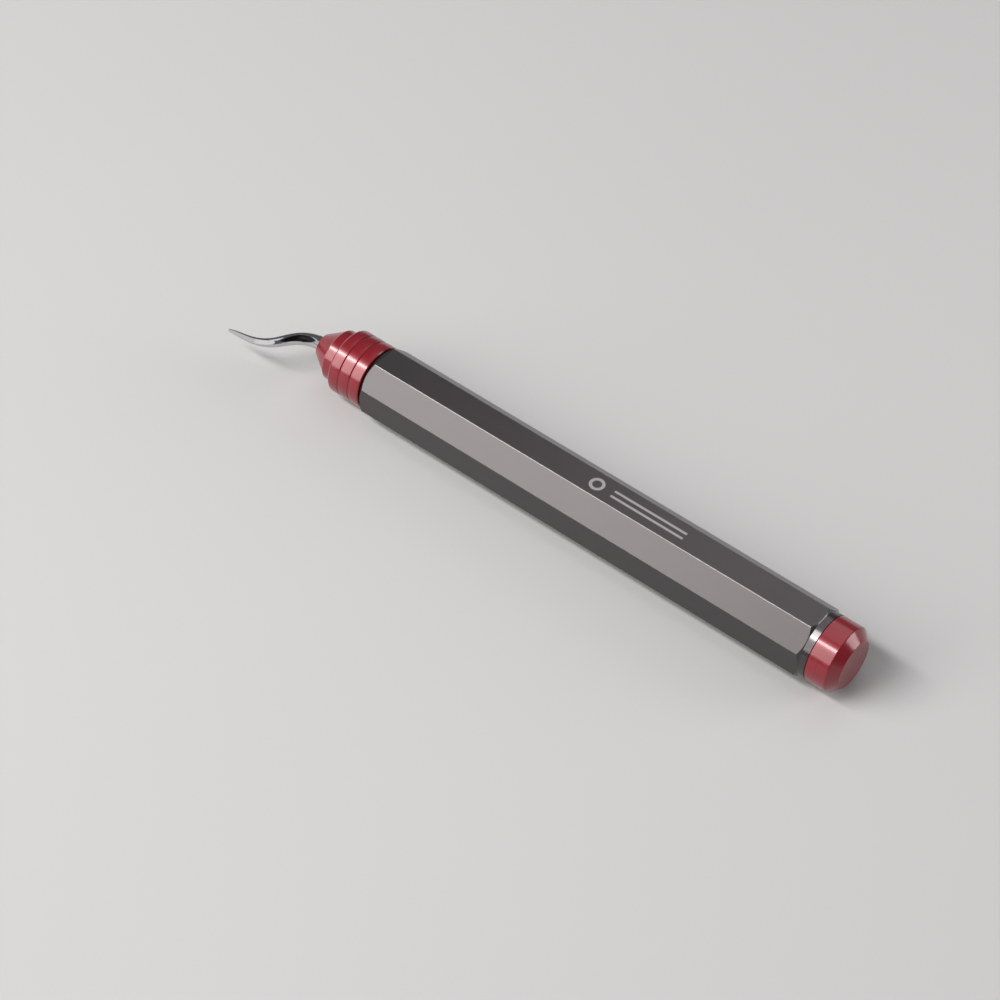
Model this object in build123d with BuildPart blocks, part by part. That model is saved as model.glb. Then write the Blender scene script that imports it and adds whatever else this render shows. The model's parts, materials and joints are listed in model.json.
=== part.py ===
from build123d import *

import os
from math import atan, cos, pi, radians, sin

# Swivel-blade deburring tool: an octagonal barrel, a ball-lock blade chuck in front of it
# and a screwed rear cap that carries the spare blade.
#
# Frame, in millimetres: +X runs along the tool from the blade to the rear cap and +Z is up.
# The origin is on the barrel's bottom flat, halfway along the barrel.

# ---- driving dimensions -------------------------------------------------------------------

# barrel
barrel_length = 112.6
barrel_flats = 14.8  # across flats
barrel_sides = 8
barrel_edge_radius = 0.3
barrel_front_radius = 7.0  # where the front chamfer meets the end face
barrel_land_radius = 7.3  # the rear end is turned round, flush with the cap
barrel_land_length = 1.5
store_radius = 5.9  # rear bore that stores the spare blade
store_bottom = -6.0
cap_bore_radius = 6.05
cap_bore_length = 10.2
stem_bore_radius = 3.02
stem_bore_length = 20.0

# blade: a round shank and an S-shaped head
shank_radius = 1.6
shank_length = 28.2
blade_first_radius = 7.8  # the head turns away from the axis, runs straight, and turns back
blade_first_angle = 55.5
blade_middle_length = 2.4
blade_second_radius = 8.3
blade_second_angle = 47.0
blade_end_length = 4.9
channel_radius = 1.6  # hollow-ground channel along the inner half of the head
channel_tilt = -40.0  # degrees from straight up, towards the inside of the first bend
bevel_tilt = -45.0  # ground flat that carries on from the channel to the tip
bevel_width = 2.5

# ball lock
ball_radius = 1.25
ball_count = 3
ball_clearance = 0.04
lock_radius = 2.42  # ball centre from the axis when locked in the shank's groove
ball_lift = 0.45
collar_travel = 2.0
cam_clearance = 0.02

# release collar
collar_gap = 0.35
collar_radius = 7.3
collar_bands = 3
band_length = 2.75
band_crown = 0.06
groove_depth = 0.2
groove_half_width = 0.18
chamber_radius = 5.85
chamber_length = 3.6

# nose and spindle
holder_radius = 3.2
stem_radius = 3.0
nose_flange_radius = 5.8
nose_tip_radius = 2.75
nose_tip_round = 0.35
nose_length = 7.1  # from the collar's front edge to the nose's tip
running_clearance = 0.03

# rear cap
cap_radius = 7.3
cap_head_length = 6.7
cap_chamfer = 2.0
cap_thread_radius = 6.0
cap_thread_length = 5.6
thread_pitch = 1.0
thread_depth = 0.5
ring_cord_radius = 0.5

# blade carrier and spare blade
carrier_radius = 5.6
carrier_length = 16.0
spare_offset = 4.25  # spare blade's shank above the tool's axis
carrier_screw_radius = 1.1

# ---- places worked out from them ------------------------------------------------------------

axis_height = barrel_flats / 2
corner_radius = barrel_flats / 2 / cos(pi / barrel_sides)
barrel_front = -barrel_length / 2
barrel_rear = barrel_length / 2
collar_rear = barrel_front - collar_gap
collar_front = collar_rear - collar_bands * band_length
nose_tip = collar_front - nose_length
shank_end = nose_tip + shank_length
ball_x = collar_rear - 2.1
cam_slope = ball_lift / collar_travel
cam_angle = atan(cam_slope)

tool_axis = Axis((0, 0, axis_height), (1, 0, 0))
profile_plane = Plane(origin=(0, 0, axis_height), x_dir=(1, 0, 0), z_dir=(0, -1, 0))


def across(x):
    """The plane across the tool at x, centred on its axis, with local x along +Y."""
    return Plane(origin=(x, 0, axis_height), x_dir=(0, 1, 0), z_dir=(1, 0, 0))


def blade_in_own_frame():
    """One blade, with the rear end of its shank at the origin and its tip towards -X."""
    with BuildLine() as head_line:
        first = JernArc((-shank_length, 0), (-1, 0), blade_first_radius, blade_first_angle)
        middle = Line(first @ 1, first @ 1 + blade_middle_length * (first % 1))
        second = JernArc(middle @ 1, middle % 1, blade_second_radius, -blade_second_angle)
        Line(second @ 1, second @ 1 + blade_end_length * (second % 1))
    head_path = head_line.wire()

    # share of the head's length, rod radius, channel depth, distance of the bevel from the centre
    stations = [
        (0.00, shank_radius, -0.30, 2.00),
        (0.08, 1.52, 0.14, 2.00),
        (0.16, 1.44, 0.40, 2.00),
        (0.25, 1.34, 0.50, 2.00),
        (0.35, 1.24, 0.34, 1.60),
        (0.44, 1.15, 0.13, 1.30),
        (0.53, 1.04, -0.08, 0.98),
        (0.63, 0.91, -0.20, 0.77),
        (0.74, 0.77, -0.20, 0.63),
        (0.86, 0.60, -0.20, 0.48),
        (0.95, 0.44, -0.20, 0.34),
        (1.00, 0.26, -0.20, 0.20),
    ]
    planes = [
        Plane(origin=head_path @ share, x_dir=(0, 0, 1), z_dir=head_path % share)
        for share, _, _, _ in stations
    ]
    groove_x = ball_x - shank_end

    with BuildPart() as blade:
        with BuildSketch(Plane.XZ):
            with BuildLine():
                Polyline(
                    (0, 0),
                    (0, shank_radius - 0.4),
                    (-0.4, shank_radius),
                    (-shank_length, shank_radius),
                    (-shank_length, 0),
                    close=True,
                )
            make_face()
            # groove for the lock balls
            with Locations((groove_x, lock_radius)):
                Circle(ball_radius + ball_clearance, mode=Mode.SUBTRACT)
        revolve(axis=Axis.X)
        for plane, (_, rod_radius, _, _) in zip(planes, stations):
            with BuildSketch(plane):
                Circle(rod_radius)
        loft()
        for plane, (_, rod_radius, depth, _) in zip(planes, stations):
            reach = rod_radius + channel_radius - depth
            with BuildSketch(plane):
                with PolarLocations(reach, 1, start_angle=channel_tilt):
                    Circle(channel_radius)
        loft(mode=Mode.SUBTRACT)
        for plane, (_, _, _, distance) in zip(planes, stations):
            with BuildSketch(plane):
                with PolarLocations(distance + bevel_width / 2, 1, start_angle=bevel_tilt):
                    Rectangle(bevel_width, 2 * bevel_width)
        loft(mode=Mode.SUBTRACT)
    return blade.part


def save(piece, name):
    """Name a finished piece and write its STEP file."""
    piece.label = name
    export_step(piece, f"parts/{name}.step")


os.makedirs("parts", exist_ok=True)

# ---- barrel ---------------------------------------------------------------------------------

land_front = barrel_rear - barrel_land_length
cap_bore_bottom = barrel_rear - cap_bore_length
ring_groove_depth = 0.72
ring_middle_radius = 5.0
lock_screw_x = barrel_front + 6.2
lock_screw_radius = 1.5

with BuildPart() as barrel:
    with BuildSketch(across(barrel_front)):
        RegularPolygon(barrel_flats / 2, barrel_sides, major_radius=False, rotation=180 / barrel_sides)
    extrude(amount=barrel_length)
    fillet(barrel.edges().filter_by(Axis.X), barrel_edge_radius)
    # turned ends: a chamfer in front, a chamfer and a round land behind
    with BuildSketch(profile_plane):
        with BuildLine():
            Polyline(
                (barrel_front, 0),
                (barrel_front, barrel_front_radius),
                (barrel_front + corner_radius - barrel_front_radius, corner_radius),
                (land_front - (corner_radius - barrel_land_radius), corner_radius),
                (land_front, barrel_land_radius),
                (barrel_rear, barrel_land_radius),
                (barrel_rear, 0),
                close=True,
            )
        make_face()
    revolve(axis=tool_axis, mode=Mode.INTERSECT)
    # front bore for the holder's stem, with its drill point
    with BuildSketch(profile_plane):
        with BuildLine():
            Polyline(
                (barrel_front, 0),
                (barrel_front, stem_bore_radius + 0.3),
                (barrel_front + 0.3, stem_bore_radius),
                (barrel_front + stem_bore_length, stem_bore_radius),
                (barrel_front + stem_bore_length + 1.8, 0),
                close=True,
            )
        make_face()
        # face groove for the collar's ring
        with Locations((barrel_front + ring_groove_depth / 2, ring_middle_radius)):
            Rectangle(ring_groove_depth, 2 * ring_cord_radius + 0.1)
    revolve(axis=tool_axis, mode=Mode.SUBTRACT)
    # rear bore for the spare blade, and the cap's bore
    with BuildSketch(profile_plane):
        with BuildLine():
            Polyline(
                (barrel_rear, 0),
                (barrel_rear, cap_bore_radius + 0.2),
                (barrel_rear - 0.2, cap_bore_radius),
                (cap_bore_bottom, cap_bore_radius),
                (cap_bore_bottom, store_radius),
                (store_bottom, store_radius),
                (store_bottom - 3.0, 0),
                close=True,
            )
        make_face()
    revolve(axis=tool_axis, mode=Mode.SUBTRACT)
    # tapped hole for the lock screw, from the flat that faces +Y
    with BuildSketch(Plane(origin=(lock_screw_x, barrel_flats / 2, axis_height), z_dir=(0, -1, 0))):
        Circle(lock_screw_radius + 0.02)
    extrude(amount=barrel_flats / 2 - 1.0, mode=Mode.SUBTRACT)
save(barrel.part, "barrel")

# ---- nose, with its bush, and the blade holder's spindle --------------------------------------

shank_bore_radius = shank_radius + 0.06
bush_radius = 2.1
bush_length = 4.0
spindle_front = nose_tip + bush_length + 0.8
flange_rear = collar_front + 1.2
flange_front = collar_front - 2.8
pocket_bottom = flange_rear - 3.0
pocket_inner_radius = 3.9
pocket_outer_radius = 5.2
thrust_ball_radius = 1.5
bore_bottom = shank_end + 2 * thrust_ball_radius + 0.04
stem_end = bore_bottom + 1.6

with BuildPart() as nose_cone:
    with BuildSketch(profile_plane):
        with BuildLine():
            tip_face = Line((nose_tip, 0), (nose_tip, nose_tip_radius - nose_tip_round))
            tip_round = JernArc(tip_face @ 1, (0, 1), nose_tip_round, -60)
            cone = Line(tip_round @ 1, (flange_front, nose_flange_radius - 0.25))
            Polyline(
                cone @ 1,
                (flange_front + 0.25, nose_flange_radius),
                (flange_rear, nose_flange_radius),
                (flange_rear, 0),
                (nose_tip, 0),
            )
        make_face()
    revolve(axis=tool_axis)
    # the bush's seat, the hole for the shank, the spindle's seat and the spring's pocket
    with BuildSketch(profile_plane):
        with BuildLine():
            Polyline(
                (nose_tip, 0),
                (nose_tip, bush_radius + 0.01),
                (nose_tip + bush_length + 0.01, bush_radius + 0.01),
                (nose_tip + bush_length + 0.01, shank_bore_radius),
                (spindle_front - 0.01, shank_bore_radius),
                (spindle_front - 0.01, holder_radius + 0.01),
                (flange_rear, holder_radius + 0.01),
                (flange_rear, 0),
                close=True,
            )
        make_face()
        with Locations(((pocket_bottom + flange_rear) / 2, (pocket_inner_radius + pocket_outer_radius) / 2)):
            Rectangle(flange_rear - pocket_bottom, pocket_outer_radius - pocket_inner_radius)
    revolve(axis=tool_axis, mode=Mode.SUBTRACT)
save(nose_cone.part, "nose_cone")

with BuildPart() as blade_holder:
    with BuildSketch(profile_plane):
        with BuildLine():
            Polyline(
                (spindle_front, shank_bore_radius),
                (spindle_front, holder_radius - 0.3),
                (spindle_front + 0.3, holder_radius),
                (barrel_front, holder_radius),
                (barrel_front, stem_radius - 0.3),
                (barrel_front + 0.8, stem_radius - 0.3),
                (barrel_front + 1.1, stem_radius),
                (stem_end - 0.5, stem_radius),
                (stem_end, stem_radius - 0.5),
                (stem_end, 0),
                (bore_bottom, 0),
                (bore_bottom, shank_bore_radius),
                close=True,
            )
        make_face()
    revolve(axis=tool_axis)
    # radial holes for the lock balls
    for turn in range(ball_count):
        angle = radians(90 + 360 * turn / ball_count)
        outward = (0, cos(angle), sin(angle))
        with BuildSketch(Plane(origin=(ball_x, 0, axis_height), z_dir=outward)):
            Circle(ball_radius + ball_clearance)
        extrude(amount=holder_radius + 1, mode=Mode.SUBTRACT)
save(blade_holder.part, "blade_holder")

with BuildPart() as nose_bush:
    with BuildSketch(across(nose_tip)):
        Circle(bush_radius)
        Circle(shank_radius + running_clearance, mode=Mode.SUBTRACT)
    extrude(amount=bush_length)
    chamfer(nose_bush.edges().group_by(Axis.X)[0].sort_by(SortBy.RADIUS)[0], 0.2)
save(nose_bush.part, "nose_bush")

# ---- lock balls, thrust ball ------------------------------------------------------------------

for turn, side in enumerate(("top", "left", "right")):
    angle = radians(90 + 360 * turn / ball_count)
    centre = (ball_x, lock_radius * cos(angle), axis_height + lock_radius * sin(angle))
    with BuildPart() as lock_ball:
        with Locations(centre):
            Sphere(ball_radius)
    save(lock_ball.part, f"lock_ball_{side}")

with BuildPart() as thrust_ball:
    with Locations((shank_end + 0.02 + thrust_ball_radius, 0, axis_height)):
        Sphere(thrust_ball_radius)
save(thrust_ball.part, "thrust_ball")

# ---- release collar ---------------------------------------------------------------------------

# The cam is a cone that opens towards the barrel. At ball_x it clears the locked balls.
cam_radius_at_ball = lock_radius + (ball_radius + cam_clearance) / cos(cam_angle)
land_radius = holder_radius + 0.06
cam_front = ball_x - (cam_radius_at_ball - land_radius) / cam_slope
cam_mouth_radius = land_radius + cam_slope * (collar_rear - cam_front)
chamber_bottom = collar_front + chamber_length
band_edge_radius = collar_radius - band_crown
front_chamfer = 0.35

with BuildPart() as release_collar:
    with BuildSketch(profile_plane):
        with BuildLine():
            Polyline(
                (collar_rear, land_radius),
                (collar_front, land_radius),
                (collar_front, collar_radius - front_chamfer),
                (collar_front + front_chamfer, band_edge_radius),
            )
            for band in range(collar_bands):
                band_front = collar_front + band * band_length
                crown_front = band_front + (groove_half_width if band else front_chamfer)
                crown_rear = band_front + band_length - groove_half_width
                ThreePointArc(
                    (crown_front, band_edge_radius),
                    ((crown_front + crown_rear) / 2, collar_radius),
                    (crown_rear, band_edge_radius),
                )
                if band < collar_bands - 1:
                    Polyline(
                        (crown_rear, band_edge_radius),
                        (crown_rear + groove_half_width, collar_radius - groove_depth),
                        (crown_rear + 2 * groove_half_width, band_edge_radius),
                    )
            Polyline(
                (collar_rear - groove_half_width, band_edge_radius),
                (collar_rear, band_edge_radius - groove_half_width),
                (collar_rear, land_radius),
            )
        make_face()
    revolve(axis=tool_axis)
    # spring chamber, open to the front
    with BuildSketch(across(collar_front)):
        Circle(chamber_radius)
    extrude(amount=chamber_length, mode=Mode.SUBTRACT)
    # cam
    with BuildSketch(profile_plane):
        with BuildLine():
            Polyline(
                (cam_front, 0),
                (cam_front, land_radius),
                (collar_rear, cam_mouth_radius),
                (collar_rear, 0),
                close=True,
            )
        make_face()
    revolve(axis=tool_axis, mode=Mode.SUBTRACT)
save(release_collar.part, "release_collar")

# ---- collar spring, its washer and the collar's ring --------------------------------------------

washer_thickness = 0.3
wire_radius = 0.22
spring_radius = 4.55
spring_coils = 4.5
spring_front = pocket_bottom + 0.03
spring_rear = chamber_bottom - washer_thickness - 0.05
spring_height = spring_rear - spring_front - 2 * wire_radius

with BuildPart() as collar_spring:
    with BuildLine():
        coil = Helix(
            pitch=spring_height / spring_coils,
            height=spring_height,
            radius=spring_radius,
            center=(spring_front + wire_radius, 0, axis_height),
            direction=(1, 0, 0),
        )
    with BuildSketch(Plane(origin=coil @ 0, z_dir=coil % 0)):
        Circle(wire_radius)
    sweep(path=coil, is_frenet=True)
save(collar_spring.part, "collar_spring")

with BuildPart() as spring_washer:
    with BuildSketch(across(chamber_bottom - washer_thickness - 0.01)):
        Circle(chamber_radius - 0.2)
        Circle(holder_radius + 0.1, mode=Mode.SUBTRACT)
    extrude(amount=washer_thickness)
save(spring_washer.part, "spring_washer")

with BuildPart() as collar_o_ring:
    with BuildSketch(profile_plane):
        with Locations((barrel_front + ring_groove_depth - ring_cord_radius - 0.02, ring_middle_radius)):
            Circle(ring_cord_radius)
    revolve(axis=tool_axis)
save(collar_o_ring.part, "collar_o_ring")

# ---- lock screw for the holder's stem -----------------------------------------------------------

lock_screw_length = 3.9
socket_depth = 1.5

with BuildPart() as holder_lock_screw:
    with BuildSketch(Plane(origin=(lock_screw_x, stem_radius + 0.02, axis_height), z_dir=(0, 1, 0))):
        Circle(lock_screw_radius)
    extrude(amount=lock_screw_length)
    chamfer(holder_lock_screw.edges().filter_by(GeomType.CIRCLE), 0.25)
    with BuildSketch(Plane(holder_lock_screw.faces().sort_by(Axis.Y)[-1])):
        RegularPolygon(0.75, 6, major_radius=False)
    extrude(amount=-socket_depth, mode=Mode.SUBTRACT)
save(holder_lock_screw.part, "holder_lock_screw")

# ---- blades -------------------------------------------------------------------------------------

blade = blade_in_own_frame()

with BuildPart() as swivel_blade:
    with Locations((shank_end, 0, axis_height)):
        add(blade)
save(swivel_blade.part, "swivel_blade")

# The spare points the same way with its head turned down, so that it fits the round bore.
cap_stub_end = barrel_rear - 9.0
spare_end = cap_stub_end - 0.5

with BuildPart() as spare_blade:
    with Locations(Location((spare_end, 0, axis_height + spare_offset), (90, 0, 0))):
        add(blade)
save(spare_blade.part, "spare_blade")

# ---- rear cap -----------------------------------------------------------------------------------

head_front = barrel_rear + 0.05
head_rear = head_front + cap_head_length
groove_rear = barrel_rear - 0.8
groove_front = groove_rear - 1.2
groove_radius = cap_thread_radius - 2 * ring_cord_radius
thread_end = cap_stub_end + cap_thread_length
pilot_depth = 6.0

with BuildPart() as rear_cap:
    with BuildSketch(profile_plane):
        with BuildLine():
            Polyline(
                (cap_stub_end, 0),
                (cap_stub_end, cap_thread_radius - 0.5),
                (cap_stub_end + 0.5, cap_thread_radius),
                (thread_end, cap_thread_radius),
                (thread_end, groove_radius + 0.3),
                (groove_front - 0.6, groove_radius + 0.3),
                (groove_front - 0.6, cap_thread_radius),
                (groove_front, cap_thread_radius),
                (groove_front, groove_radius),
                (groove_rear, groove_radius),
                (groove_rear, cap_thread_radius),
                (head_front, cap_thread_radius),
                (head_front, cap_radius - 0.15),
                (head_front + 0.15, cap_radius),
                (head_rear - cap_chamfer, cap_radius),
                (head_rear, cap_radius - cap_chamfer),
                (head_rear, 0),
                close=True,
            )
        make_face()
    revolve(axis=tool_axis)
    fillet(rear_cap.edges().filter_by(GeomType.CIRCLE).sort_by(Axis.X)[-2:], 0.3)
    # screw thread, cut as a helical groove
    with BuildLine():
        thread_line = Helix(
            pitch=thread_pitch,
            height=cap_thread_length + thread_pitch,
            radius=cap_thread_radius,
            center=(cap_stub_end - thread_pitch / 2, 0, axis_height),
            direction=(1, 0, 0),
        )
    with BuildSketch(Plane(origin=thread_line @ 0, x_dir=(1, 0, 0), z_dir=thread_line % 0)):
        Polygon((-0.42, 0.05), (0.42, 0.05), (0.06, -thread_depth), (-0.06, -thread_depth), align=None)
    sweep(path=thread_line, is_frenet=True, mode=Mode.SUBTRACT)
    # pilot hole for the carrier's screw
    with BuildSketch(across(cap_stub_end)):
        Circle(carrier_screw_radius + 0.02)
    extrude(amount=pilot_depth, mode=Mode.SUBTRACT)
save(rear_cap.part, "rear_cap")

with BuildPart() as cap_o_ring:
    with BuildSketch(profile_plane):
        with Locations(((groove_front + groove_rear) / 2, groove_radius + ring_cord_radius)):
            Circle(ring_cord_radius - 0.01)
    revolve(axis=tool_axis)
save(cap_o_ring.part, "cap_o_ring")

# ---- blade carrier and its screw ------------------------------------------------------------------

carrier_rear = cap_stub_end - 0.02
carrier_front = carrier_rear - carrier_length
screw_seat = carrier_rear - 4.0
screw_head_radius = 2.1
screw_head_height = 1.4
lock_washer_thickness = 0.5
screw_head_seat = screw_seat - lock_washer_thickness - 0.02

with BuildPart() as blade_carrier:
    with BuildSketch(across(carrier_front)):
        Circle(carrier_radius)
        with Locations((0, spare_offset)):
            Circle(shank_radius + 0.04, mode=Mode.SUBTRACT)
    extrude(amount=carrier_length)
    # access bore and through hole for the screw
    with BuildSketch(across(carrier_front)):
        Circle(screw_head_radius + 0.2)
    extrude(amount=screw_seat - carrier_front, mode=Mode.SUBTRACT)
    with BuildSketch(across(screw_seat)):
        Circle(carrier_screw_radius + 0.1)
    extrude(amount=carrier_rear - screw_seat, mode=Mode.SUBTRACT)
save(blade_carrier.part, "blade_carrier")

# split lock washer under the screw's head
with BuildPart() as carrier_washer:
    with BuildSketch(across(screw_seat - lock_washer_thickness - 0.01)):
        Circle(screw_head_radius)
        Circle(carrier_screw_radius + 0.1, mode=Mode.SUBTRACT)
        with Locations((0, -screw_head_radius)):
            Rectangle(0.3, 2 * screw_head_radius, mode=Mode.SUBTRACT)
    extrude(amount=lock_washer_thickness)
save(carrier_washer.part, "carrier_washer")

with BuildPart() as carrier_screw:
    with BuildSketch(profile_plane):
        with BuildLine():
            Polyline(
                (screw_head_seat - screw_head_height, 0),
                (screw_head_seat - screw_head_height, screw_head_radius - 0.4),
                (screw_head_seat - screw_head_height + 0.5, screw_head_radius),
                (screw_head_seat, screw_head_radius),
                (screw_head_seat, carrier_screw_radius),
                (cap_stub_end + 4.6, carrier_screw_radius),
                (cap_stub_end + 5.4, 0.2),
                (cap_stub_end + 5.4, 0),
                close=True,
            )
        make_face()
    revolve(axis=tool_axis)
    with BuildSketch(Plane(carrier_screw.faces().sort_by(Axis.X)[0])):
        Rectangle(2.2, 0.5)
        Rectangle(0.5, 2.2)
    extrude(amount=-0.8, mode=Mode.SUBTRACT)
save(carrier_screw.part, "carrier_screw")
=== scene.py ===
import json
import math

import bmesh
import bpy
from mathutils import Matrix, Vector


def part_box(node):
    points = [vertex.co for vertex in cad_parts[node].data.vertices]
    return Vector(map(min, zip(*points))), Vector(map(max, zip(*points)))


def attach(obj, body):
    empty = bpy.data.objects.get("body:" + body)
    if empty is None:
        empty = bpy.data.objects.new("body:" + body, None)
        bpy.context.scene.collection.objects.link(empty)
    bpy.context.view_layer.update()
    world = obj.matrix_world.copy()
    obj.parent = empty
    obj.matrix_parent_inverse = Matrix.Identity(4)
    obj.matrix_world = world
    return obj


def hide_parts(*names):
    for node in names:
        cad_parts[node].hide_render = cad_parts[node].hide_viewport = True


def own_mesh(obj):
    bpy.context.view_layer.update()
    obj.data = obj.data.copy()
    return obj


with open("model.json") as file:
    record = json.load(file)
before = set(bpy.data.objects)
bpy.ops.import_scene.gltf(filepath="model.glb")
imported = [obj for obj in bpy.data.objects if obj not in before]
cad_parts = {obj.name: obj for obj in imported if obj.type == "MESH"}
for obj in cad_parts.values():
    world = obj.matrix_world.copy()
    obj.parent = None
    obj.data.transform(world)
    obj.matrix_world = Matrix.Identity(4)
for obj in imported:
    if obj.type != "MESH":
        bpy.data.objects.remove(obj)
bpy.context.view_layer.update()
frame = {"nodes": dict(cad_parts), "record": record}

nodes = frame["nodes"]

# Lengths in the materials are in millimetres. Y and Z are measured from the tool's axis.
MM = 0.001
barrel_low, barrel_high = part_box("barrel")
AXIS_HEIGHT = barrel_high.z / 2
BARREL_FRONT = barrel_low.x / MM
BARREL_REAR = barrel_high.x / MM
TOP_FLAT = AXIS_HEIGHT / MM
EDGE = TOP_FLAT / math.cos(math.pi / 8)
FRONT_TURNED = 1.05
REAR_TURNED = 2.21

# The mark on the barrel's top flat: a ring, and two bars behind it.
RING_X = 0.1
RING_RADIUS = 1.35
RING_HALF_WIDTH = 0.34
BARS_X = 12.9
BARS_HALF_LENGTH = 8.9
BAR_Y = 0.75
BAR_HALF_WIDTH = 0.28

# The blades: the shank, the first bend of the head, and the channel along the head's centre line.
SHANK_RADIUS = 1.6
BEND_RADIUS = 7.8
BEND_ANGLE = math.radians(55.5)
HEAD_TAPER = 0.047
CHANNEL_START = 1.2
CHANNEL_END = 10.0
CHANNEL_FADE = 0.3
BLADE_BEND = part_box("nose_cone")[0].x / MM
shank_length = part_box("swivel_blade")[1].x / MM - BLADE_BEND
spare_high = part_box("spare_blade")[1]
SPARE_BEND = spare_high.x / MM - shank_length
SPARE_OFFSET = (spare_high.z - AXIS_HEIGHT) / MM - SHANK_RADIUS


# ---- material graphs ----------------------------------------------------------------------------

class Graph:
    """A material's node tree, built one node at a time."""

    def __init__(self, name, colour, metallic, roughness, specular=0.5):
        self.material = bpy.data.materials.new(name)
        self.material.use_nodes = True
        self.material.diffuse_color = (*colour, 1)
        self.tree = self.material.node_tree
        self.shader = self.tree.nodes["Principled BSDF"]
        self.set(self.shader.inputs["Base Color"], (*colour, 1))
        self.set(self.shader.inputs["Metallic"], metallic)
        self.set(self.shader.inputs["Roughness"], roughness)
        self.set(self.shader.inputs["Specular IOR Level"], specular)
        coords = self.node("ShaderNodeTexCoord").outputs["Object"]
        in_mm = self.vector("SCALE", coords, scale=1 / MM)
        self.place = self.vector("SUBTRACT", in_mm, (0, 0, AXIS_HEIGHT / MM))
        split = self.node("ShaderNodeSeparateXYZ", {"Vector": self.place})
        self.x, self.y, self.z = split.outputs
        self.radius = self.math("SQRT", self.math("ADD", self.square(self.y), self.square(self.z)))

    def set(self, socket, value):
        """Link a socket, or give the input a fixed value."""
        if isinstance(value, bpy.types.NodeSocket):
            self.tree.links.new(value, socket)
        else:
            socket.default_value = value

    def node(self, kind, inputs=None, **settings):
        node = self.tree.nodes.new(kind)
        for key, value in settings.items():
            setattr(node, key, value)
        for key, value in (inputs or {}).items():
            self.set(node.inputs[key], value)
        return node

    def math(self, operation, a, b=0.0, c=0.0):
        node = self.node("ShaderNodeMath", operation=operation)
        for socket, value in zip(node.inputs, (a, b, c)):
            self.set(socket, value)
        return node.outputs[0]

    def square(self, value):
        return self.math("MULTIPLY", value, value)

    def vector(self, operation, a, b=(0, 0, 0), scale=1.0):
        node = self.node("ShaderNodeVectorMath", operation=operation)
        for index, value in ((0, a), (1, b), (3, scale)):
            self.set(node.inputs[index], value)
        return node.outputs[0]

    def ramp(self, value, low, high, out_low=0.0, out_high=1.0):
        """A smooth step from out_low at low to out_high at high."""
        inputs = {"Value": value, "From Min": low, "From Max": high, "To Min": out_low, "To Max": out_high}
        return self.node("ShaderNodeMapRange", inputs, interpolation_type="SMOOTHSTEP").outputs[0]

    def noise(self, stretch=(1, 1, 1), detail=2.0):
        """Noise with about one feature per unit of the stretched place."""
        inputs = {"Vector": self.vector("MULTIPLY", self.place, stretch), "Scale": 1.0, "Detail": detail}
        return self.node("ShaderNodeTexNoise", inputs).outputs["Fac"]

    def line_noise(self, value, scale, detail=2.0):
        """Noise along one number, such as the distance along the axis of a turned part."""
        inputs = {"W": value, "Scale": scale, "Detail": detail}
        return self.node("ShaderNodeTexNoise", inputs, noise_dimensions="1D").outputs["Fac"]

    def within(self, value, middle, half, soft=0.06):
        """1 where value is within half of middle, falling to 0 over soft."""
        away = self.math("ABSOLUTE", self.math("SUBTRACT", value, middle))
        return self.ramp(away, half + soft, half - soft)

    def blend(self, share, a, b):
        """The colour that goes from a to b as share goes from 0 to 1."""
        node = self.node("ShaderNodeMix", data_type="RGBA")
        self.set(node.inputs["Factor"], share)
        for socket, colour in zip([s for s in node.inputs if s.type == "RGBA"], (a, b)):
            self.set(socket, (*colour, 1) if isinstance(colour, tuple) else colour)
        return [s for s in node.outputs if s.type == "RGBA"][0]

    def colour(self, value):
        self.set(self.shader.inputs["Base Color"], value)

    def roughness(self, value):
        self.set(self.shader.inputs["Roughness"], value)

    def bumps(self, *layers):
        """Surface relief. Each layer is (height from 0 to 1, depth in mm)."""
        normal = None
        for height, depth in layers:
            inputs = {"Height": height, "Distance": depth * MM, "Strength": 1.0}
            if normal is not None:
                inputs["Normal"] = normal
            normal = self.node("ShaderNodeBump", inputs).outputs["Normal"]
        self.set(self.shader.inputs["Normal"], normal)

    def turned(self):
        """A number that changes across the turning marks of cylinders, end faces and chamfers alike."""
        return self.math("MULTIPLY_ADD", self.radius, 0.6, self.x)


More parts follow.
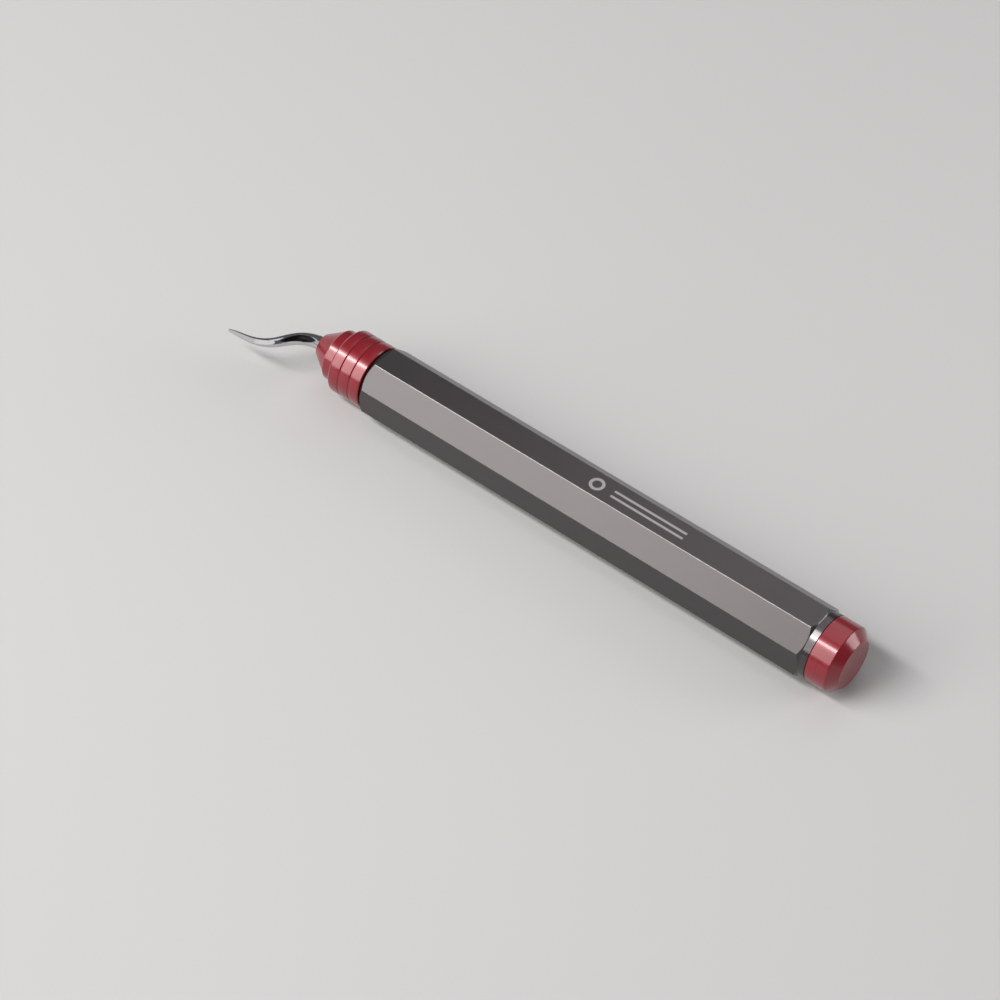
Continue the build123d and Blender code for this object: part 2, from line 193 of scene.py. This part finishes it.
def black_anodised():
    """Satin black anodised aluminium with drawing lines along the barrel and turned ends."""
    g = Graph("black_anodised", (0.016, 0.0145, 0.0155), 0.0, 0.3, 0.85)
    along = g.noise((0.02, 5, 5), detail=3)
    grain = g.noise((9, 9, 9), detail=2)
    blotch = g.noise((0.12, 0.3, 0.3), detail=3)
    # The anodising is thinner and greyer along the edges.
    edge = g.ramp(g.radius, EDGE - 0.16, EDGE - 0.04)
    wear = g.math("MULTIPLY", edge, g.ramp(g.noise((0.5, 2, 2), detail=4), 0.42, 0.62))
    base = g.blend(blotch, (0.013, 0.0115, 0.0125), (0.021, 0.0185, 0.0195))
    base = g.blend(g.math("MULTIPLY", wear, 0.3), base, (0.075, 0.07, 0.07))
    # The printed mark is lighter, rougher and slightly raised.
    on_top = g.ramp(g.z, TOP_FLAT - 0.03, TOP_FLAT - 0.01)
    left_bar = g.within(g.y, BAR_Y, BAR_HALF_WIDTH)
    right_bar = g.within(g.y, -BAR_Y, BAR_HALF_WIDTH)
    bars_length = g.within(g.x, BARS_X, BARS_HALF_LENGTH, 0.1)
    bars = g.math("MULTIPLY", g.math("MAXIMUM", left_bar, right_bar), bars_length)
    from_ring_x = g.math("SUBTRACT", g.x, RING_X)
    from_ring_middle = g.math("SQRT", g.math("ADD", g.square(from_ring_x), g.square(g.y)))
    ring = g.within(from_ring_middle, RING_RADIUS, RING_HALF_WIDTH)
    print_share = g.math("MULTIPLY", g.math("MAXIMUM", bars, ring), on_top)
    ink = g.math("MULTIPLY", print_share, g.ramp(g.noise((4, 4, 4), detail=3), 0.2, 0.42, 0.8, 1.0))
    g.colour(g.blend(ink, base, (0.27, 0.26, 0.26)))
    # The front chamfer and the round rear end are turned, and smoother than the flats.
    front_edge = BARREL_FRONT + FRONT_TURNED
    rear_edge = BARREL_REAR - REAR_TURNED
    front_end = g.ramp(g.x, front_edge + 0.03, front_edge - 0.03)
    rear_end = g.ramp(g.x, rear_edge - 0.03, rear_edge + 0.03)
    ends = g.math("ADD", front_end, rear_end)
    turning = g.math("MULTIPLY", g.line_noise(g.turned(), 14), ends)
    rough = g.math("MULTIPLY_ADD", ends, -0.1, g.ramp(along, 0.3, 0.7, 0.28, 0.32))
    g.roughness(g.math("MULTIPLY_ADD", ink, 0.18, rough))
    g.bumps((along, 0.0015), (grain, 0.002), (turning, 0.0006), (print_share, 0.004))
    g.set(g.shader.inputs["Specular Tint"], (1, 0.93, 0.93, 1))
    return g.material


def red_anodised():
    """Deep red anodised aluminium, turned to a fine finish under its clear, sealed skin."""
    g = Graph("red_anodised", (0.22, 0.007, 0.015), 0.14, 0.3, 0.3)
    marks = g.line_noise(g.turned(), 16, 3)
    cloud = g.noise((0.35, 0.35, 0.35), detail=3)
    g.colour(g.blend(cloud, (0.195, 0.006, 0.013), (0.245, 0.008, 0.017)))
    g.roughness(g.ramp(marks, 0.3, 0.7, 0.27, 0.33))
    g.bumps((marks, 0.0003), (g.noise((6, 6, 6)), 0.0006))
    for name, value in (("Coat Weight", 0.65), ("Coat IOR", 1.6), ("Coat Roughness", 0.17)):
        g.set(g.shader.inputs[name], value)
    return g.material


def blade_steel(name, bend_x, head_down):
    """High-speed steel, ground bright; the unpolished channel in the blade's head is painted near black as
    shade and dark reflection.
    """
    g = Graph(name, (0.6, 0.6, 0.61), 1.0, 0.2)
    scratches = g.noise((0.5, 12, 12), detail=3)
    cloud = g.noise((0.4, 0.8, 0.8), detail=3)
    # The head bends towards -Y, or downwards when the blade is stored.
    if head_down:
        lateral, height = g.math("SUBTRACT", SPARE_OFFSET, g.z), g.y
    else:
        lateral, height = g.math("MULTIPLY", g.y, -1.0), g.z
    # Distances along the head's centre line and from it, round the bend and straight on.
    forward = g.math("SUBTRACT", bend_x, g.x)
    inward = g.math("SUBTRACT", BEND_RADIUS, lateral)
    reach = g.math("SQRT", g.math("ADD", g.square(forward), g.square(inward)))
    turn = g.math("ARCTAN2", forward, inward)
    past = g.math("MAXIMUM", g.math("SUBTRACT", turn, BEND_ANGLE), 0.0)
    aside = g.math("SUBTRACT", BEND_RADIUS, g.math("MULTIPLY", reach, g.math("COSINE", past)))
    straight = g.math("MULTIPLY", reach, g.math("SINE", past))
    along = g.math("MULTIPLY_ADD", g.math("MINIMUM", turn, BEND_ANGLE), BEND_RADIUS, straight)
    from_centre = g.math("SQRT", g.math("ADD", g.square(aside), g.square(height)))
    rod_radius = g.math("MULTIPLY_ADD", along, -HEAD_TAPER, SHANK_RADIUS)
    depth = g.math("SUBTRACT", rod_radius, from_centre)
    after_start = g.ramp(along, CHANNEL_START - CHANNEL_FADE, CHANNEL_START + CHANNEL_FADE)
    before_end = g.ramp(along, CHANNEL_END + CHANNEL_FADE, CHANNEL_END - CHANNEL_FADE)
    stretch = g.math("MULTIPLY", after_start, before_end)
    # Painted shade: the channel is coloured near black to stand in for the shade and dark reflections in
    # the hollow, and is made rougher.
    channel_painted_shade = g.math("MULTIPLY", g.ramp(depth, 0.05, 0.15), stretch)
    bright = g.blend(cloud, (0.56, 0.555, 0.56), (0.64, 0.64, 0.645))
    g.colour(g.blend(channel_painted_shade, bright, (0.035, 0.035, 0.037)))
    polish = g.ramp(scratches, 0.3, 0.7, 0.09, 0.16)
    g.roughness(g.math("MULTIPLY_ADD", channel_painted_shade, 0.15, polish))
    g.bumps((scratches, 0.0015), (g.noise((5, 5, 5)), 0.001))
    return g.material


def polished_steel():
    """Bearing steel: near mirror, with light wear."""
    g = Graph("polished_steel", (0.72, 0.72, 0.74), 1.0, 0.07)
    cloud = g.noise((1.5, 1.5, 1.5), detail=3)
    g.colour(g.blend(cloud, (0.68, 0.68, 0.7), (0.76, 0.76, 0.78)))
    g.roughness(g.ramp(cloud, 0.3, 0.7, 0.05, 0.13))
    g.bumps((g.noise((4, 4, 4), detail=3), 0.0008))
    return g.material


def spring_steel():
    """Bright zinc on drawn and turned steel."""
    g = Graph("spring_steel", (0.5, 0.5, 0.52), 1.0, 0.3)
    marks = g.line_noise(g.turned(), 11, 3)
    cloud = g.noise((0.8, 0.8, 0.8), detail=4)
    g.colour(g.blend(cloud, (0.42, 0.42, 0.43), (0.58, 0.58, 0.6)))
    g.roughness(g.ramp(marks, 0.3, 0.7, 0.24, 0.36))
    g.bumps((marks, 0.003), (cloud, 0.003))
    return g.material


def black_steel():
    """Oiled black oxide."""
    g = Graph("black_steel", (0.035, 0.035, 0.04), 0.7, 0.38)
    cloud = g.noise((2, 2, 2), detail=4)
    g.colour(g.blend(cloud, (0.022, 0.022, 0.026), (0.055, 0.053, 0.055)))
    g.roughness(g.ramp(cloud, 0.3, 0.7, 0.3, 0.48))
    g.bumps((g.noise((7, 7, 7), detail=3), 0.003))
    return g.material


def bronze():
    """Turned bearing bronze."""
    g = Graph("bronze", (0.6, 0.38, 0.17), 1.0, 0.3)
    marks = g.line_noise(g.turned(), 12, 3)
    cloud = g.noise((1, 1, 1), detail=4)
    g.colour(g.blend(cloud, (0.5, 0.3, 0.13), (0.66, 0.43, 0.2)))
    g.roughness(g.ramp(marks, 0.3, 0.7, 0.24, 0.38))
    g.bumps((marks, 0.003), (cloud, 0.003))
    return g.material


def black_rubber():
    """Matt nitrile rubber."""
    g = Graph("black_rubber", (0.018, 0.018, 0.018), 0.0, 0.6)
    dust = g.ramp(g.noise((1.2, 1.2, 1.2), detail=5), 0.5, 0.75)
    g.colour(g.blend(dust, (0.015, 0.015, 0.015), (0.04, 0.039, 0.037)))
    g.roughness(g.ramp(dust, 0, 1, 0.52, 0.72))
    g.bumps((g.noise((8, 8, 8), detail=3), 0.006))
    return g.material


def black_nylon():
    """Moulded nylon with a fine spark-eroded texture."""
    g = Graph("black_nylon", (0.03, 0.03, 0.033), 0.0, 0.5)
    cloud = g.noise((0.5, 0.5, 0.5), detail=3)
    g.colour(g.blend(cloud, (0.024, 0.024, 0.027), (0.042, 0.042, 0.045)))
    g.roughness(g.ramp(cloud, 0.3, 0.7, 0.44, 0.56))
    g.bumps((g.noise((5, 5, 5), detail=3), 0.012))
    return g.material


finishes = {
    make.__name__: make()
    for make in (
        black_anodised,
        red_anodised,
        polished_steel,
        spring_steel,
        black_steel,
        bronze,
        black_rubber,
        black_nylon,
    )
}

blade_finishes = {
    "swivel_blade": blade_steel("blade_steel", BLADE_BEND, head_down=False),
    "spare_blade": blade_steel("spare_blade_steel", SPARE_BEND, head_down=True),
}

for part in frame["record"]["subparts"]:
    name, slot = part["node"], part["material_slot"]
    node = nodes[name]
    node.data.materials.clear()
    node.data.materials.append(blade_finishes.get(name) or finishes[slot])


# ---- collar spring: a coil with closed ends ---------------------------------------------------------

def coil_spring(name, front, rear, coil_radius, wire_radius, coils, closed):
    """A compression spring along X, with this many closed coils at each end."""
    steps = 48
    sides = 10
    total = round(coils * steps)
    dead = closed * steps
    rise = rear - front - 2 * wire_radius
    pitch_at_end = 2.02 * wire_radius
    live = rise - 2 * closed * pitch_at_end
    mesh = bmesh.new()
    rings = []
    for step in range(total + 1):
        turn = 2 * math.pi * step / steps
        if step < dead:
            along = pitch_at_end * step / steps
        elif step > total - dead:
            along = rise - pitch_at_end * (total - step) / steps
        else:
            share = (step - dead) / (total - 2 * dead)
            along = closed * pitch_at_end + live * share
        centre = Vector((front + wire_radius + along, 0, AXIS_HEIGHT))
        out = Vector((0, math.cos(turn), math.sin(turn)))
        ring = []
        for side in range(sides):
            angle = 2 * math.pi * side / sides
            reach = coil_radius + wire_radius * math.cos(angle)
            aside = Vector((wire_radius * math.sin(angle), 0, 0))
            ring.append(mesh.verts.new(centre + out * reach + aside))
        rings.append(ring)
    for a, b in zip(rings, rings[1:]):
        for side in range(sides):
            after = (side + 1) % sides
            mesh.faces.new((a[side], a[after], b[after], b[side]))
    mesh.faces.new(rings[0])
    mesh.faces.new(reversed(rings[-1]))
    bmesh.ops.recalc_face_normals(mesh, faces=mesh.faces)
    for face in mesh.faces:
        face.smooth = len(face.verts) == 4
    data = bpy.data.meshes.new(name)
    mesh.to_mesh(data)
    mesh.free()
    spring = bpy.data.objects.new(name, data)
    bpy.context.scene.collection.objects.link(spring)
    return spring


low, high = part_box("collar_spring")
wire_radius = 0.22 * MM
coil_radius = 4.55 * MM
spring = coil_spring("spring_coil", low.x, high.x, coil_radius, wire_radius, coils=5.0, closed=0.75)
spring.data.materials.append(finishes["spring_steel"])
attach(spring, "tool_body")
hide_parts("collar_spring")
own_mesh(spring)


# ---- floor -------------------------------------------------------------------------------------------

def floor_material():
    g = Graph("floor_paper", (0.54, 0.535, 0.53), 0.0, 0.7, 0.2)
    cloud = g.noise((0.004, 0.004, 0.004), detail=3)
    g.colour(g.blend(cloud, (0.525, 0.52, 0.515), (0.555, 0.55, 0.545)))
    g.bumps((g.noise((1.5, 1.5, 1.5), detail=3), 0.01))
    return g.material


FLOOR_SIZE = 8
bpy.ops.mesh.primitive_plane_add(size=FLOOR_SIZE)
floor = bpy.context.object
floor.name = "floor"
floor.data.materials.append(floor_material())


# ---- light --------------------------------------------------------------------------------------------

CENTRE = Vector((-0.013, 0, AXIS_HEIGHT))


def softbox(name, direction, distance, width, height, radiance, colour=(1, 1, 1)):
    """An area light that faces the tool, with its width as nearly along X as it can be.

    The direction is from the tool towards the light. Lengths are in metres.
    """
    back = Vector(direction).normalized()
    right = (Vector((1, 0, 0)) - back * back.x).normalized()
    up = back.cross(right)
    data = bpy.data.lights.new(name, "AREA")
    data.shape = "RECTANGLE"
    data.size = width
    data.size_y = height
    data.energy = radiance * math.pi * width * height
    data.color = colour
    lamp = bpy.data.objects.new(name, data)
    facing = Matrix((right, up, back)).transposed().to_4x4()
    lamp.matrix_world = Matrix.Translation(CENTRE + back * distance) @ facing
    lamp.visible_camera = False
    bpy.context.scene.collection.objects.link(lamp)
    return lamp


def share_light(lamp, node, state):
    """Keep a light off one CAD node (EXCLUDE), or keep it for that node alone (INCLUDE)."""
    group = bpy.data.collections.new(lamp.name + "_linking")
    group.objects.link(nodes[node])
    group.collection_objects[0].light_linking.link_state = state
    lamp.light_linking.receiver_collection = group


KEY_DIRECTION = (-0.50, -0.68, 0.535)
KEY_DISTANCE = 2.0
KEY_WIDTH = 1.20
KEY_HEIGHT = 1.90
BLADE_KEY_EXTRA = 0.25
WARM = (1, 0.985, 0.97)
ROSY = (1, 0.96, 0.97)

key = softbox("key", KEY_DIRECTION, KEY_DISTANCE, KEY_WIDTH, KEY_HEIGHT, radiance=4.45, colour=WARM)
edge_strip = softbox(
    "edge_strip", (-0.39, -0.46, 0.80), distance=0.75, width=0.60, height=0.09, radiance=19.0
)
barrel_edge = softbox(
    "barrel_edge", (-0.39, -0.29, 0.87), distance=0.75, width=0.90, height=0.34, radiance=12.0
)
blade_key = softbox(
    "blade_key", KEY_DIRECTION, KEY_DISTANCE, KEY_WIDTH + BLADE_KEY_EXTRA, KEY_HEIGHT, radiance=0.66
)
softbox("blade_fill", (0.15, -0.72, 0.68), distance=2.0, width=1.30, height=1.30, radiance=0.9)
softbox(
    "top_fill", (-0.15, 0.45, 0.88), distance=0.8, width=0.40, height=1.04, radiance=1.0, colour=ROSY
)
softbox("rear_kicker", (0.77, 0.58, 0.28), distance=0.6, width=0.30, height=0.26, radiance=4.5)

# The bright steel blade gets a weaker key of its own, so its flats don't wash out. The barrel's rounded
# edge gets a light that only its gloss answers to, and that the red parts don't share.
for lamp in (key, edge_strip):
    share_light(lamp, "swivel_blade", "EXCLUDE")
share_light(blade_key, "swivel_blade", "INCLUDE")
share_light(barrel_edge, "barrel", "INCLUDE")
barrel_edge.visible_diffuse = False

world = bpy.data.worlds.new("studio")
world.use_nodes = True
background = world.node_tree.nodes["Background"]
background.inputs["Color"].default_value = (0.93, 0.95, 1.0, 1)
background.inputs["Strength"].default_value = 0.13
bpy.context.scene.world = world
bpy.context.scene.view_settings.view_transform = "Standard"


# ---- camera -------------------------------------------------------------------------------------------

camera_data = bpy.data.cameras.new("camera")
camera_data.lens = 106.9
camera_data.sensor_width = 36
camera_data.clip_start = 0.01
camera = bpy.data.objects.new("camera", camera_data)
bpy.context.scene.collection.objects.link(camera)
# The camera's place, and its own axes: to its right, upwards and backwards.
CAMERA_PLACE = Vector((0.22035, -0.33675, 0.45324))
right = Vector((0.7842, 0.6194, 0.0374))
up = Vector((-0.4799, 0.5671, 0.6694))
back = Vector((0.3934, -0.5429, 0.7420))
facing = Matrix((right, up, back)).transposed().to_4x4()
camera.matrix_world = Matrix.Translation(CAMERA_PLACE) @ facing
bpy.context.scene.camera = camera
